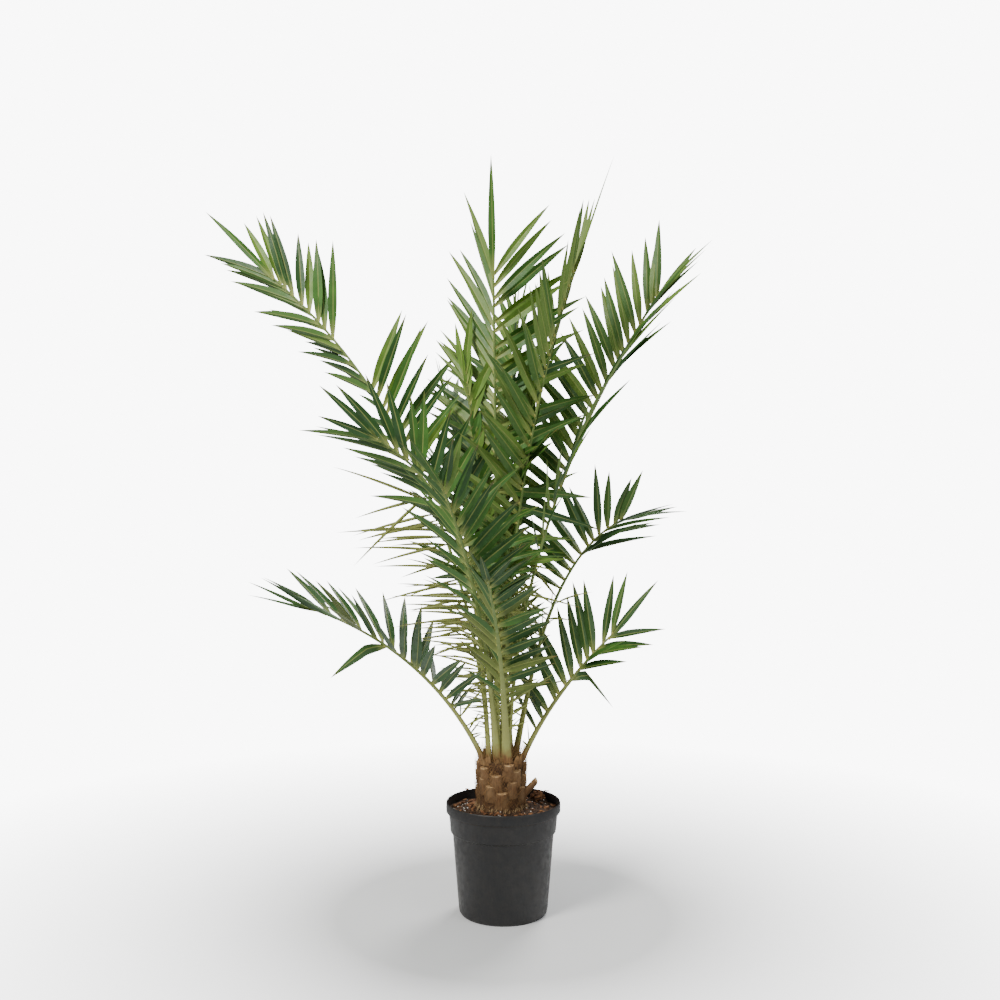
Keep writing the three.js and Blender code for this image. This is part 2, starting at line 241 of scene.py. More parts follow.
def leafSurface(tree, given):  # reads the blade's own place: along it, across it, and which side
    place = axesOf(tree, given["Place"])
    tone = ranged(tree, noisy(tree, given["Vector"], 38.0, 3.0), 0.3, 0.7, 0.78, 1.24)
    leaf = newNode(tree, "HueSaturation", {"Color": given["Leaf"], "Value": tone}).outputs["Color"]
    below = worked(tree, "LESS_THAN", place["Z"], -0.01)
    leaf = mixed(tree, times(tree, below, 0.75), leaf, given["Under"])
    fromRib = worked(tree, "ABSOLUTE", place["Y"])
    leaf = mixed(tree, ranged(tree, fromRib, 0.03, 0.16, 0.6, 0.0), leaf, given["Rib"])
    leaf = mixed(tree, ranged(tree, place["X"], 0.02, 0.2, 0.85, 0.0), leaf, given["Rib"])
    withered = times(tree, ranged(tree, place["X"], 0.86, 0.99), given["Dryness"])
    veins = worked(tree, "SINE", times(tree, place["Y"], 34.0))
    return {"Color": mixed(tree, withered, leaf, given["Tip"]), "Height": veins}


middle, grey = (0, 0, 0), (0.5, 0.5, 0.5, 1)
leafColors = dict.fromkeys(("Leaf", "Under", "Rib", "Tip"), grey)
softMottle = newGroup("softMottle", {"Vector": middle, "Scale": 60, "Softness": 0.15}, mottle)
strandFibres = newGroup("strandFibres", {"Vector": middle}, fineStrands)
dustInputs = {"Color": grey, "Dust": grey, "Amount": 0.5, "Vector": middle}
settledDust = newGroup("settledDust", dustInputs, paleDust)
barkCreviceShade = newGroup("barkCreviceShade", {"Color": grey, "Shadow": grey, "Vector": middle}, creviceShade)
leafInputs = {"Place": middle, "Vector": middle, "Dryness": 0.3, **leafColors}
leafSkin = newGroup("leafSkin", leafInputs, leafSurface)
print("shared node groups ready")


def newMaterial(name, roughness, specular=0.5):
    material = bpy.data.materials.new(name)
    material.use_nodes = True
    shader = material.node_tree.nodes["Principled BSDF"].inputs
    shader["Roughness"].default_value = roughness
    shader["Specular IOR Level"].default_value = specular
    return material, material.node_tree, shader


def objectPlace(tree):
    return newNode(tree, "TexCoord").outputs["Object"]


def ownPlace(tree):
    return newNode(tree, "Attribute", attribute_name="place").outputs["Vector"]


def patchy(tree, place, scale, softness):
    return grouped(tree, softMottle, Vector=place, Scale=scale, Softness=softness)["Mask"]


def strandy(tree, place, stretch):
    return grouped(tree, strandFibres, Vector=stretched(tree, place, stretch))


def bump(tree, shader, height, strength, distance):
    values = {"Height": height, "Strength": strength, "Distance": distance * mm}
    plug(tree, newNode(tree, "Bump", values).outputs["Normal"], shader["Normal"])


# Materials, one function for each finish

def potPlastic():
    material, tree, shader = newMaterial("potPlastic", 0.5, 0.42)
    place = objectPlace(tree)
    plastic = mixed(tree, patchy(tree, place, 24, 0.3), (20, 20, 21), (26, 26, 27))
    flow = strandy(tree, place, (260, 260, 9))["Mask"]  # faint upright flow marks from the moulding
    plastic = mixed(tree, times(tree, flow, 0.12), plastic, (44, 43, 42))
    dusted = grouped(tree, settledDust, Color=plastic, Dust=(112, 96, 78), Amount=0.2, Vector=place)
    plug(tree, dusted["Color"], shader["Base Color"])
    rough = ranged(tree, noisy(tree, place, 90.0, 6.0, 0.65), 0.35, 0.65, 0.38, 0.56)
    plug(tree, worked(tree, "ADD", rough, times(tree, dusted["Mask"], 0.5)), shader["Roughness"])
    bump(tree, shader, noisy(tree, place, 1900.0, 2.0), 0.22, 0.12)
    return material


def pottingSoil():
    material, tree, shader = newMaterial("pottingSoil", 0.92, 0.25)
    place = objectPlace(tree)
    color = mixed(tree, patchy(tree, place, 190, 0.12), (44, 31, 22), (88, 65, 46))
    damp = times(tree, patchy(tree, place, 26, 0.16), 0.5)
    plug(tree, mixed(tree, damp, color, (34, 24, 18)), shader["Base Color"])
    bump(tree, shader, noisy(tree, place, 620.0, 9.0, 0.7), 0.9, 1.1)
    return material


def crumbFinish(name, dark, light, roughness):
    material, tree, shader = newMaterial(name, roughness, 0.3)
    place = objectPlace(tree)
    plug(tree, mixed(tree, patchy(tree, place, 150, 0.1), dark, light), shader["Base Color"])
    bump(tree, shader, noisy(tree, place, 1100.0, 6.0, 0.7), 0.6, 0.4)
    return material


def barkFinish(name, dark, light, pale, along):  # along stretches the strands in each piece's own place
    material, tree, shader = newMaterial(name, 0.86, 0.28)
    place = objectPlace(tree)
    strands = strandy(tree, ownPlace(tree), along)
    color = mixed(tree, strands["Mask"], dark, light)
    color = mixed(tree, times(tree, patchy(tree, place, 46, 0.16), 0.55), color, pale)
    dust = dict(Dust=(150, 128, 98), Amount=0.42, Vector=place)
    color = grouped(tree, settledDust, Color=color, **dust)["Color"]
    # painted shade: the bark turns dark brown towards the trunk's axis, between the leaf bases
    fromAxis = newNode(tree, "VectorMath", {0: place, 1: (-trunk["offset"] * mm, 0, 0)}).outputs["Vector"]
    color = grouped(tree, barkCreviceShade, Color=color, Shadow=(34, 22, 14), Vector=fromAxis)["Color"]
    plug(tree, color, shader["Base Color"])
    bump(tree, shader, strands["Height"], 0.85, 0.9)
    return material


def cutFace():  # dry cut end with the dark dots of its strands
    material, tree, shader = newMaterial("cutFace", 0.8, 0.3)
    place = objectPlace(tree)
    dots = newNode(tree, "TexVoronoi", {"Vector": place, "Scale": 560.0}, feature="F1").outputs["Distance"]
    color = mixed(tree, patchy(tree, place, 120, 0.2), (150, 112, 72), (206, 176, 130))
    color = mixed(tree, ranged(tree, dots, 0.18, 0.34, 0.75, 0.0), color, (116, 80, 46))
    plug(tree, color, shader["Base Color"])
    bump(tree, shader, dots, 0.5, 0.3)
    return material


def threadFinish(name, dark, light):
    material, tree, shader = newMaterial(name, 0.85, 0.3)
    patches = patchy(tree, objectPlace(tree), 110, 0.16)
    plug(tree, mixed(tree, patches, dark, light), shader["Base Color"])
    return material


def stemSkin():  # brown at the foot, then yellow green, then green, with streaks along the unbent stem
    material, tree, shader = newMaterial("stemSkin", 0.46, 0.45)
    unbent, place = ownPlace(tree), objectPlace(tree)
    reach = axesOf(tree, unbent)["Z"]
    edge = worked(tree, "ADD", reach, times(tree, noisy(tree, place, 90.0), 0.03))
    strands = strandy(tree, unbent, (420, 420, 14))
    green = mixed(tree, ranged(tree, reach, 0.06, 0.3), (158, 158, 84), (98, 128, 58))
    bloom = times(tree, patchy(tree, place, 75, 0.2), 0.3)
    green = mixed(tree, bloom, green, (176, 184, 128))
    green = mixed(tree, times(tree, strands["Mask"], 0.45), green, (120, 132, 62))
    husk = mixed(tree, strands["Mask"], (92, 60, 34), (150, 112, 66))
    plug(tree, mixed(tree, ranged(tree, edge, 0.022, 0.05), husk, green), shader["Base Color"])
    plug(tree, ranged(tree, edge, 0.022, 0.06, 0.85, 0.42), shader["Roughness"])
    bump(tree, shader, strands["Height"], 0.35, 0.4)
    return material


def leafFinish(name, leaf, under, tip, dryness):
    material, tree, shader = newMaterial(name, 0.44, 0.45)
    place = objectPlace(tree)
    tones = dict(Leaf=leaf, Under=under, Rib=(168, 176, 96), Tip=tip, Dryness=dryness)
    skin = grouped(tree, leafSkin, Place=ownPlace(tree), Vector=place, **tones)
    plug(tree, skin["Color"], shader["Base Color"])
    rough = ranged(tree, noisy(tree, place, 70.0), 0.3, 0.7, 0.36, 0.54)
    plug(tree, rough, shader["Roughness"])
    bump(tree, shader, skin["Height"], 0.3, 0.25)
    return material


# Camera, lights and floor

studio = dict(
    camera=(0, -1960, 725), lens=38.3, shift=(-0.0033, 0.017), lightsAim=(0, 0, 650),
    backdrop=9.0, room=0.42,  # how bright the backdrop looks, and how bright the room is on the plant
    floorRadius=3000, floorSides=96,
    floorClear=(300, 1500),  # the floor fades into the backdrop between these
)
lights = dict(
    keyLight=dict(place=(-1700, -1900, 2500), size=1100, power=92, tone=(1.0, 0.985, 0.955)),
    fillLight=dict(place=(2100, -1700, 1300), size=1800, power=22, tone=(0.96, 0.98, 1.0)),
    backLight=dict(place=(900, 1900, 2300), size=1200, power=58, tone=(1.0, 0.995, 0.98)),
)


def makeStudio():
    camera = newObject("camera", bpy.data.cameras.new("camera"))
    camera.location = Vector(studio["camera"]) * mm
    camera.rotation_euler = (math.pi / 2, 0, 0)
    camera.data.lens = studio["lens"]
    camera.data.shift_x, camera.data.shift_y = studio["shift"]
    bpy.context.scene.camera = camera
    for name, light in lights.items():
        lamp = newObject(name, bpy.data.lights.new(name, "AREA"))
        lamp.data.shape = "DISK"
        lamp.data.size = light["size"] * mm
        lamp.data.energy = light["power"]
        lamp.data.color = light["tone"]
        lamp.location = Vector(light["place"]) * mm
        aim = Vector(studio["lightsAim"]) * mm - lamp.location
        lamp.rotation_euler = aim.to_track_quat("-Z", "Y").to_euler()


def makeWorld():
    world = bpy.data.worlds.new("paleRoom")
    bpy.context.scene.world = world
    world.use_nodes = True
    tree = world.node_tree
    backdrop = newNode(tree, "Background", {"Color": (1, 1, 1, 1), "Strength": studio["backdrop"]})
    room = newNode(tree, "Background", {"Color": (0.93, 0.96, 1, 1), "Strength": studio["room"]})
    seen = newNode(tree, "LightPath").outputs["Is Camera Ray"]
    both = newNode(tree, "MixShader", {0: seen, 1: room.outputs[0], 2: backdrop.outputs[0]})
    plug(tree, both.outputs[0], tree.nodes["World Output"].inputs["Surface"])


def makeFloor():
    bm = bmesh.new()
    radius = studio["floorRadius"] * mm
    bmesh.ops.create_circle(bm, cap_ends=True, segments=studio["floorSides"], radius=radius)
    mesh = bpy.data.meshes.new("floor")
    bm.to_mesh(mesh)
    bm.free()
    material, tree, shader = newMaterial("paleFloor", 0.6)
    place = objectPlace(tree)
    grain = ranged(tree, noisy(tree, place, 3.0), 0.3, 0.7)
    plug(tree, mixed(tree, grain, (0.86, 0.86, 0.85, 1), (0.9, 0.9, 0.89, 1)), shader["Base Color"])
    near, far = (r * mm for r in studio["floorClear"])
    plug(tree, ranged(tree, lengthOf(tree, place), near, far, 1.0, 0.0), shader["Alpha"])
    mesh.materials.append(material)
    newObject("floor", mesh)


makeStudio()
makeWorld()
makeFloor()
print("studio ready")


# Pot

pot = dict(
    height=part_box("pot")[1].z / mm, lipRadius=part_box("pot")[1].x / mm, wall=2,
    footRadius=78, heelRadius=82, heelHeight=11, heelTuck=1.2, heelBend=0.35,
    shoulderRadius=93, shoulderHeight=147, collarFootRadius=97, collarTopRadius=100,
    lipFootHeight=184, lipCrown=2,
    step=3,  # the shoulder and the lip's underside slope over this height
    turns=120, rounding=0.8, sharpAbove=30,
    holes=6, holeRadius=6, holeCircle=58, holeSides=28, recessRadius=32, recessDepth=0.8,
)


def potOutline(inset):
    p = pot
    return [
        (p["footRadius"] - inset, inset),
        (p["heelRadius"] - p["heelTuck"] - inset, p["heelHeight"] * p["heelBend"] + inset),
        (p["heelRadius"] - inset, p["heelHeight"]),
        (p["shoulderRadius"] - inset, p["shoulderHeight"]),
        (p["collarFootRadius"] - inset, p["shoulderHeight"] + p["step"]),
        (p["collarTopRadius"] - inset, p["lipFootHeight"] - inset),
        (p["lipRadius"] - inset, p["lipFootHeight"] + p["step"] / 2 - inset),
        (p["lipRadius"] - inset, p["height"] - p["lipCrown"]),
    ]


def spun(profile, turns):  # a closed shell from its outline, radius and height in millimetres
    bm = bmesh.new()
    verts = [bm.verts.new((r * mm, 0, z * mm)) for r, z in profile]
    edges = [bm.edges.new(pair) for pair in zip(verts, verts[1:])]
    bmesh.ops.spin(
        bm, geom=verts + edges, cent=(0, 0, 0), axis=(0, 0, 1), dvec=(0, 0, 0),
        angle=fullTurn, steps=turns, use_merge=True, use_duplicate=False,
    )
    bmesh.ops.remove_doubles(bm, verts=bm.verts, dist=tiny)
    bmesh.ops.dissolve_degenerate(bm, edges=bm.edges, dist=tiny)
    bmesh.ops.recalc_face_normals(bm, faces=bm.faces)
    return bm


def roundRings(bm, offset, sharpest=12):
    rings = []
    for edge in bm.edges:
        a, b = (v.co for v in edge.verts)
        level = abs(a.z - b.z) < tiny and abs(a.to_2d().length - b.to_2d().length) < tiny
        if level and math.degrees(edge.calc_face_angle(0)) > sharpest:
            rings.append(edge)
    bevelled(bm, rings, offset * mm, 3)


def makeHoles():
    bm = bmesh.new()
    radius = pot["holeRadius"] * mm
    for i in range(pot["holes"]):
        angle = (i + 0.5) / pot["holes"] * fullTurn
        hole = bmesh.ops.create_cone(
            bm, cap_ends=True, segments=pot["holeSides"], radius1=radius, radius2=radius,
            depth=pot["wall"] * 4 * mm,
        )
        spot = Vector((math.cos(angle), math.sin(angle), 0)) * pot["holeCircle"] * mm
        bmesh.ops.translate(bm, verts=hole["verts"], vec=spot)
    return meshFrom(bm, "holes")


def drilled(mesh, holes):  # cuts the holes' solid out of a mesh
    whole, drill = newObject("uncut", mesh), newObject("drill", holes)
    cut = whole.modifiers.new("holes", "BOOLEAN")
    cut.object, cut.operation, cut.solver = drill, "DIFFERENCE", "EXACT"
    graph = bpy.context.evaluated_depsgraph_get()
    done = bpy.data.meshes.new_from_object(whole.evaluated_get(graph))
    for item in (whole, drill):
        bpy.data.objects.remove(item)
    return done


def makePot():
    depth, radius = pot["recessDepth"], pot["recessRadius"]
    recess = [(0, depth), (radius, depth), (radius + 1, 0)]
    lip = [(pot["lipRadius"] - pot["wall"] / 2, pot["height"])]
    inside = potOutline(pot["wall"])[::-1] + [(0, pot["wall"])]
    bm = spun(recess + potOutline(0) + lip + inside, pot["turns"])
    roundRings(bm, pot["rounding"])
    mesh = drilled(meshFrom(bm, "uncut", pot["sharpAbove"]), makeHoles())
    mesh.name = "potShell"
    addPiece("potShell", smoothed(mesh, pot["sharpAbove"]), potPlastic(), "pot_plastic", "pot")


makePot()
print("pot done")


# Soil, with bark chips and white grains in it, heaped a little round the trunk

trunk = dict(
    foot=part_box("trunk")[0].z / mm, top=280, footRadius=45.5, waistRadius=41.5, topRadius=44,
    offset=-4,  # it stands a little to the left of the pot's middle
)
soil = dict(
    level=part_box("soil")[1].z / mm, sunk=1, gap=0.3, turns=150, rings=46,
    flatRadius=60, slopeWidth=40, edgeDrop=4,  # outside flatRadius it falls towards the pot's wall
    lumps=1.7, broadLumps=1.4, broadScale=0.045, fineScale=0.16,
    mound=3, moundReach=9,  # it is heaped this much against the trunk
    pile=(65, 59), pileHeight=13, pileReach=15,  # and in a small pile of crumbs at the back
)
crumbs = dict(
    peatCrumbs=dict(count=950, size=(1.2, 3.6), stretch=(1, 0.8, 0.7),
                    finish=("peatCrumb", (36, 25, 18), (84, 58, 38), 0.95)),
    barkChips=dict(count=170, size=(4, 11), stretch=(1, 0.5, 0.28),
                   finish=("barkChip", (84, 52, 32), (146, 102, 66), 0.85)),
    whiteGrains=dict(count=85, size=(1.4, 3.2), stretch=(1, 0.9, 0.85),
                     finish=("whiteGrain", (206, 202, 192), (234, 232, 226), 0.9)),
)
crumbRest = dict(inner=45, outer=97, lift=0.12, tilt=0.5, sharpAbove=50)
pileChips = dict(
    count=34, spread=6.6, size=(6, 13), rise=3, tilt=1.3,
    onRim=[(-69.5, 77.4, 204), (79.5, 65.5, 204), (84, 60, 205)],  # chips that lie on the pot's lip
    rimSize=(5, 7), rimTilt=0.2,
)


def soilHeight(x, y):
    s = soil
    fall = min(max((math.hypot(x, y) - s["flatRadius"]) / s["slopeWidth"], 0), 1) * s["edgeDrop"]
    lumps = noise.noise(Vector((x, y, 0)) * s["broadScale"]) * s["broadLumps"]
    lumps += noise.noise(Vector((x, y, 9)) * s["fineScale"])
    near = math.hypot(x - trunk["offset"], y) - trunk["footRadius"]
    heap = s["mound"] * math.exp(-max(near, 0) / s["moundReach"])
    away = math.dist((x, y), s["pile"]) / s["pileReach"]
    heap += s["pileHeight"] * math.exp(-away * away)
    return s["level"] - fall + heap + lumps * s["lumps"] - s["sunk"]


def makeSoil():
    bottom = pot["wall"] + soil["gap"]
    side = [(r, z) for r, z in potOutline(bottom) if z < soil["level"] - soil["edgeDrop"]]
    edgeRadius = side[-1][0]
    top = [(edgeRadius * (1 - k / soil["rings"]), soil["level"]) for k in range(soil["rings"] + 1)]
    bm = spun([(0, bottom)] + side + top, soil["turns"])
    for vert in bm.verts:
        if vert.co.z > (soil["level"] - 1) * mm:
            vert.co.z = soilHeight(vert.co.x / mm, vert.co.y / mm) * mm
    addPiece("soilTop", meshFrom(bm, "soilTop", 60), pottingSoil(), "potting_soil", "soil")


def roughened(bm, amount, seed):
    for k, vert in enumerate(bm.verts):
        vert.co *= 1 + amount * wobble(seed, k)
    return shapeOf(bm)


def lumpShape():
    bm = bmesh.new()
    bmesh.ops.create_icosphere(bm, subdivisions=1, radius=1)
    return roughened(bm, 0.28, 21)


def chipShape():
    bm = bmesh.new()
    bmesh.ops.create_cube(bm, size=2)
    bevelled(bm, bm.edges[:], 0.34, 1)
    return roughened(bm, 0.16, 22)


def randomTurns(rng, count, tilt):  # each turned freely about the upright, and tipped by up to tilt
    spin, tip = rng.uniform(0, fullTurn, count), rng.uniform(-tilt, tilt, count)
    zero, one = np.zeros(count), np.ones(count)
    c, s, ct, st = np.cos(spin), np.sin(spin), np.cos(tip), np.sin(tip)
    about = np.stack([c, -s, zero, s, c, zero, zero, zero, one], 1).reshape(-1, 3, 3)
    over = np.stack([ct, zero, st, zero, one, zero, -st, zero, ct], 1).reshape(-1, 3, 3)
    return about @ over


def scattered(shape, spots, sizes, stretch, turns):
    points = (shape[0] * np.array(stretch))[None] * (sizes / 2)[:, None, None]
    return np.einsum("nij,nvj->nvi", turns, points) + spots[:, None]


def soilSpots(rng, count):
    inner, outer = crumbRest["inner"], crumbRest["outer"]
    spots = []
    while len(spots) < count:
        x, y = rng.uniform(-outer, outer, 2)
        if math.hypot(x, y) < outer and math.hypot(x - trunk["offset"], y) > inner:
            spots.append((x, y, soilHeight(x, y)))
    return np.array(spots)


def withPile(rng, spots, sizes, turns):  # adds the chips of the pile and those on the pot's lip
    p = pileChips
    count, rimCount = p["count"], len(p["onRim"])
    rimSizes = rng.uniform(*p["rimSize"], rimCount)
    flat = rng.normal(soil["pile"], p["spread"], (count, 2))
    heaped = [(x, y, soilHeight(x, y) + p["rise"] * rng.random()) for x, y in flat]
    sizes = np.concatenate([sizes, rng.uniform(*p["size"], count), rimSizes])
    pileTurns, rimTurns = randomTurns(rng, count, p["tilt"]), randomTurns(rng, rimCount, p["rimTilt"])
    return np.concatenate([spots, heaped, p["onRim"]]), sizes, np.concatenate([turns, pileTurns, rimTurns])


def makeCrumbs():
    shapes = dict(peatCrumbs=lumpShape(), barkChips=chipShape(), whiteGrains=lumpShape())
    for k, (name, crumb) in enumerate(crumbs.items()):
        rng = np.random.default_rng(40 + k)
        spots = soilSpots(rng, crumb["count"])
        sizes = rng.uniform(*crumb["size"], crumb["count"])
        spots[:, 2] += sizes * crumbRest["lift"]
        turns = randomTurns(rng, crumb["count"], crumbRest["tilt"])
        if name == "barkChips":
            spots, sizes, turns = withPile(rng, spots, sizes, turns)
        points = scattered(shapes[name], spots, sizes, crumb["stretch"], turns)
        mesh = repeatedMesh(name, points, shapes[name], crumbRest["sharpAbove"])
        addPiece(name, mesh, crumbFinish(*crumb["finish"]), "potting_soil", "soil")


makeSoil()
makeCrumbs()
print("soil done")


# Shapes that are swept or repeated

def newSwept():
    bm = bmesh.new()
    bm.verts.layers.float_vector.new("place")
    return bm


def sweep(bm, rings, places):  # a closed tube through rings of points, extruded from ring to ring
    layer = bm.verts.layers.float_vector["place"]
    start = bmesh.ops.create_circle(bm, cap_ends=True, segments=len(rings[0]), radius=1)
    face = start["verts"][0].link_faces[0]
    for k, (ring, place) in enumerate(zip(rings, places)):
        if k:
            old = face
            grown = bmesh.ops.extrude_face_region(bm, geom=[old])
            face = next(g for g in grown["geom"] if isinstance(g, bmesh.types.BMFace))
            if k > 1:
                bmesh.ops.delete(bm, geom=[old], context="FACES_ONLY")
        for vert, spot, own in zip(face.verts, ring, place):
            vert.co = Vector(spot) * mm
            vert[layer] = Vector(own) * mm
    return face


def taperShape(sides, cuts):
    # a pointed tube cut into rings; a corner becomes its share of the length and its place round the ring
    bm = bmesh.new()
    bmesh.ops.create_cone(bm, cap_ends=True, segments=sides, radius1=1, radius2=0, depth=1)
    bmesh.ops.remove_doubles(bm, verts=bm.verts, dist=tiny)
    for share in cuts:
        bmesh.ops.bisect_plane(
            bm, geom=bm.verts[:] + bm.edges[:] + bm.faces[:], dist=tiny,
            plane_co=(0, 0, share - 0.5), plane_no=(0, 0, 1),
        )
    points, faces = shapeOf(bm)
    share = points[:, 2] + 0.5
    onRing = points[:, :2] / np.maximum(1 - share, 1e-3)[:, None]
    onRing[share > 0.999] = 0
    return np.column_stack([share, onRing]), faces


bladeShape = taperShape(4, [0.05, 0.13, 0.23, 0.35, 0.48, 0.62, 0.76, 0.89])
threadShape = taperShape(3, [0.25, 0.5, 0.75])


def builtUp(starts, *steps):  # each step is a direction for each copy and how far each corner goes that way
    points = starts[:, None]
    for direction, amount in steps:
        each = direction if direction.ndim == 3 else direction[:, None]
        points = points + each * amount[..., None]
    return points


def threadPoints(starts, headings, bends, lengths, radii):  # thin strands that set out and bend away
    share, a, b = threadShape[0].T
    side = unit(np.cross(headings, [0.31, 0.17, 0.94]))
    lengths, thick = lengths[:, None], radii[:, None] * (1 - 0.75 * share)
    along, away = (headings, share * lengths), (bends, share ** 2 * lengths)
    return builtUp(starts, along, away, (side, a * thick), (np.cross(headings, side), b * thick))


# Fronds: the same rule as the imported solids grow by, with every leaflet of the real plant

stem = dict(
    steps=40, sides=14, foot=trunk["top"] + 0.3, sunk=2.5, tipRadius=1.8, thickness=0.9,
    upper=(0.5, 0.8),  # of that, the upper side at the foot, where it is almost flat, and at the tip
    turnEase=1.3, flare=0.9, flareReach=90, flareFlatter=3,
)
leaflet = dict(
    pitch=20, stagger=0.25, sunk=0.8, tipSunk=12, clearance=0.4,
    length=166, shortest=0.84, swell=0.24, swellEase=0.8,
    width=19.5, tipWidth=0.75, thickness=0.42,
    narrowest=0.35, fullFrom=0.35, narrowing=0.2, narrowingEase=3,
    footAngle=74, closing=44, closingEase=1.5, openEase=2, lift=28, droop=0.08,
    fold=0.15, widestAt=0.42,  # of the eight faces that stand for it where it is fitted
)
blade = dict(
    widestAt=0.36, footWidth=0.26, tipEase=1.7, stout=1.5,
    fold=0.62, unfolding=0.42,  # deeply folded at its foot, flatter towards its tip
    kinkAt=0.32, kinkReach=0.3, noKink=2,  # shares of its length
)
knob = dict(along=2.1, size=0.2, limits=(1.3, 2.6), length=1.7, height=0.8)
varies = dict(
    place=0.3, angle=6, lift=12, length=0.1, width=0.08, age=0.34, twist=math.radians(16), bow=0.035,
)
younger = dict(alongRow=0.12, last=0.1)
retries = dict(
    shares=(1, 0.8, 0.6, 0.45), turns=(0, 6, -6, 12, -12, 20, -20),
    lastTurns=3,  # the leaflet at the tip turns by this much less
)
spine = dict(
    pitch=15, fromShare=0.06,  # of the stem, up to where the leaflets start
    length=(24, 158), ease=1.6, width=(2.6, 5.6), angle=74, lift=34,
    likeLeaflets=0.3,  # how much their length follows the frond's leaflets
    shares=(1, 0.7, 0.45), turns=(0, 10, -10, 22, -22),
)
spineVaries = dict(place=0.35, angle=12, lift=24, length=0.24, bow=varies["bow"])
leafTones = dict(  # the leaf, its underside, its tip, and how dry the tip is
    leafletsFresh=((104, 140, 48), (112, 140, 62), (150, 142, 66), 0.2),
    leafletsMid=((66, 110, 36), (84, 120, 54), (142, 126, 62), 0.45),
    leafletsDeep=((42, 82, 28), (66, 100, 48), (132, 104, 56), 0.7),
    leafletsDull=((96, 112, 44), (106, 118, 58), (150, 114, 58), 1.0),
    stemSpines=((140, 148, 72), (150, 156, 86), (120, 84, 48), 1.0),
)
toneLimits = (0.3, 0.62, 1.12)  # a leaflet's age picks one of the first four between these

# base is where a frond stands on the trunk's top, lean goes from foot to tip, turn is the blade's twist
# about the stem, bare the share of the stem below the leaflets, open adds to the angle of the lowest ones,
# spread to all angles on side -1 and on side 1, tip is the last one's angle and length, and gap a stretch
# of one side that has none. spines holds what differs from the other fronds' spines. kinked is a leaflet
# that is bent over, and hang how steeply its outer part hangs.
fronds = [
    dict(name="frond_low_left", base=(-31, -6), radius=6.2, heading=192, lean=(26, 71), bend=1,
         length=430, turn=-8, leaf=0.98, bare=0.23, open=25, spread=(0, -10), tip=(2, 0.8), age=0.95,
         kinked=dict(side=1, row=0.54, angle=40, lift=-50, hang=0.5, length=122)),
    dict(name="frond_low_right", base=(38, 2), radius=6.2, heading=-4, lean=(24, 46), bend=0.8,
         length=285, turn=62, leaf=0.92, bare=0.15, spread=(5, 4), tip=(10, 1), age=0.9,
         gap=(-1, 0, 0.46), kinked=dict(side=-1, row=0.5, angle=30, lift=-50, hang=1.1, length=104)),
    dict(name="frond_low_front", base=(10, -34), radius=5.4, heading=262, lean=(11, 56), bend=1,
         length=420, turn=-11, leaf=0.6, bare=0.26, spread=(-8, 10), tip=(0, 1), age=1.0),
    dict(name="frond_low_back", base=(14, 34), radius=5.4, heading=96, lean=(16, 64), bend=0.9,
         length=500, turn=-22, leaf=0.6, bare=0.24, spread=(0, -10), tip=(0, 1), age=1.0),
    dict(name="frond_mid_right", base=(25, 14), radius=5.4, heading=30, lean=(13, 72), bend=2.35,
         length=530, turn=33, leaf=0.92, bare=0.58, spread=(4, 4), tip=(-4, 0.95), age=0.75,
         gap=(-1, 0, 0.31)),
    dict(name="frond_mid_left", base=(-21, -17), radius=5.4, heading=202, lean=(4, 66), bend=2.6,
         length=650, turn=65, leaf=1, bare=0.48, open=30, spread=(-13, -13), tip=(0, 0.75), age=0.75,
         spines=dict(lift=-50, ease=1.2)),
    dict(name="frond_mid_front", base=(-6, -27), radius=5.2, heading=248, lean=(12, 46), bend=1.4,
         length=560, turn=0, leaf=0.8, bare=0.48, spread=(-4, -7), tip=(-8, 1), age=0.7),
    dict(name="frond_mid_back", base=(-8, 27), radius=5.2, heading=112, lean=(12, 50), bend=1.3,
         length=630, turn=0, leaf=0.86, bare=0.45, spread=(-4, -1), tip=(-8, 1), age=0.75),
    dict(name="frond_high_left", base=(-20, 9), radius=5, heading=175, lean=(5, 50), bend=1.2,
         length=1020, turn=81, leaf=1.08, bare=0.5, spread=(-15, -4), tip=(8, 1.1), age=0.55,
         gap=(1, 0.457, 0.64), spines=dict(lift=-70, length=(20, 185), ease=0.6, width=(3, 6.5))),
    dict(name="frond_high_right", base=(15, 5), radius=5, heading=-1, lean=(0, 34), bend=0.85,
         length=915, turn=54, leaf=1.08, bare=0.42, spread=(-14, -1), tip=(-2, 0.7), age=0.5),
    dict(name="frond_high_front", base=(-8, -15), radius=4.6, heading=267, lean=(1, 18), bend=1.9,
         length=880, turn=-22, leaf=1.14, bare=0.4, spread=(-8, 10), tip=(0, 1.17), age=0.45),
    dict(name="frond_high_back", base=(5, 17), radius=4.6, heading=79, lean=(1, 27), bend=2,
         length=830, turn=-52, leaf=1.08, bare=0.45, spread=(0, -8), tip=(16, 0.9), age=0.5),
    dict(name="frond_top_left", base=(-10, 5), radius=4, heading=120, lean=(5, 30), bend=1.2,
         length=700, turn=44, leaf=0.9, bare=0.42, spread=(-6, -16), tip=(-8, 0.75), age=0.3),
    dict(name="frond_top_right", base=(5, -4), radius=4, heading=317, lean=(0, 24), bend=1.15,
         length=900, turn=42, leaf=1, bare=0.38, spread=(-12, -22), tip=(2, 1.35), age=0.3),
    dict(name="frond_inner_left", base=(-7, -5), radius=4, heading=215, lean=(0, 12), bend=1,
         length=715, turn=20, leaf=0.84, bare=0.39, spread=(0, -14), tip=(0, 0.75), age=0.15),
    dict(name="frond_inner_right", base=(0, 6), radius=4, heading=22, lean=(1, 12), bend=1.2,
         length=695, turn=27, leaf=0.88, bare=0.33, spread=(-6, 1), tip=(0, 0.9), age=0.15),
]
frondNodes = [frond["name"] for frond in fronds]


def turnedAbout(v, axis, angle):
    return v * np.cos(angle)[:, None] + np.cross(axis, v) * np.sin(angle)[:, None]


